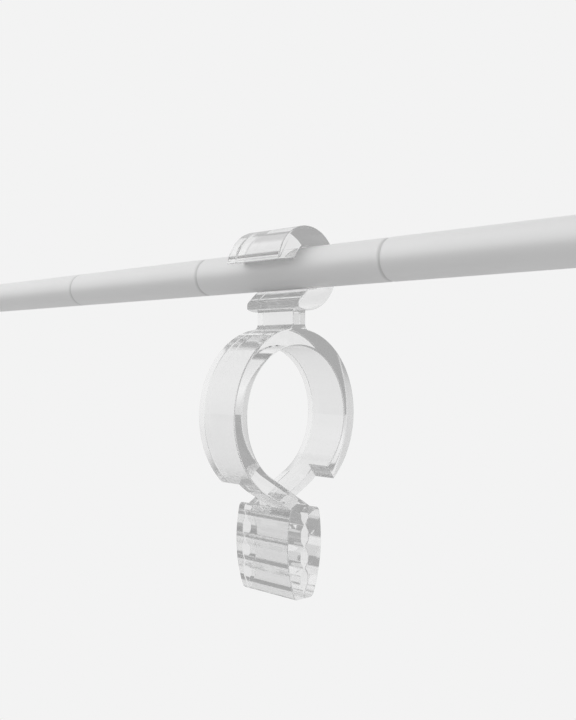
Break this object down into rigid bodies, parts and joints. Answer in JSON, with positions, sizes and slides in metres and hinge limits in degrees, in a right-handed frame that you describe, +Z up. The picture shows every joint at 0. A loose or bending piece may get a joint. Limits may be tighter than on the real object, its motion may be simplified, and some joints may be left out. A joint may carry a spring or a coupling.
{
  "type": "tie rack rail with clip",
  "caption": "Round grooved hanging rail of a pull-out tie rack, tapped at both ends, with a clear clip-on clip: a squeezable spring ring whose crossed arms open fluted jaws.",
  "frame": {"origin": "centre of the rail's far end face, on the rail's axis", "axes": "+X along the rail from its far end to its near end, +Z up, the clip's mouth opens towards -Y"},
  "size_m": [0.304, 0.0504, 0.1097],
  "materials": {
    "rail_coat": "satin light grey coating",
    "plug_metal": "turned and zinc plated",
    "clear_plastic": "polished clear moulding"
  },
  "bodies": {
    "rail": {"rail_tube": "rail_coat", "far_end_plug": "plug_metal", "near_end_plug": "plug_metal"},
    "cuff": {"snap_cuff": "clear_plastic"},
    "left_arm": {"left_spring_arm": "clear_plastic"},
    "right_arm": {"right_spring_arm": "clear_plastic"}
  },
  "joints": [
    {"name": "clip_slide", "type": "slide", "parent": "rail", "child": "cuff", "axis": [1, 0, 0], "range_m": [-0.1735, 0.106]},
    {"name": "left_arm_flex", "type": "hinge", "parent": "cuff", "child": "left_arm", "pos_m": [0.1858, 0, -0.0206], "axis": [1, 0, 0], "range_deg": [0, 6], "stiffness_Nm_per_rad": 1.5, "springref_deg": -2.86},
    {"name": "right_arm_flex", "type": "hinge", "parent": "cuff", "child": "right_arm", "pos_m": [0.1858, 0, -0.0206], "axis": [1, 0, 0], "range_deg": [-6, 0], "stiffness_Nm_per_rad": 1.5, "springref_deg": 2.86}
  ],
  "couplings": [
    {"joint": "right_arm_flex", "follows": "left_arm_flex", "ratio": -1}
  ]
}
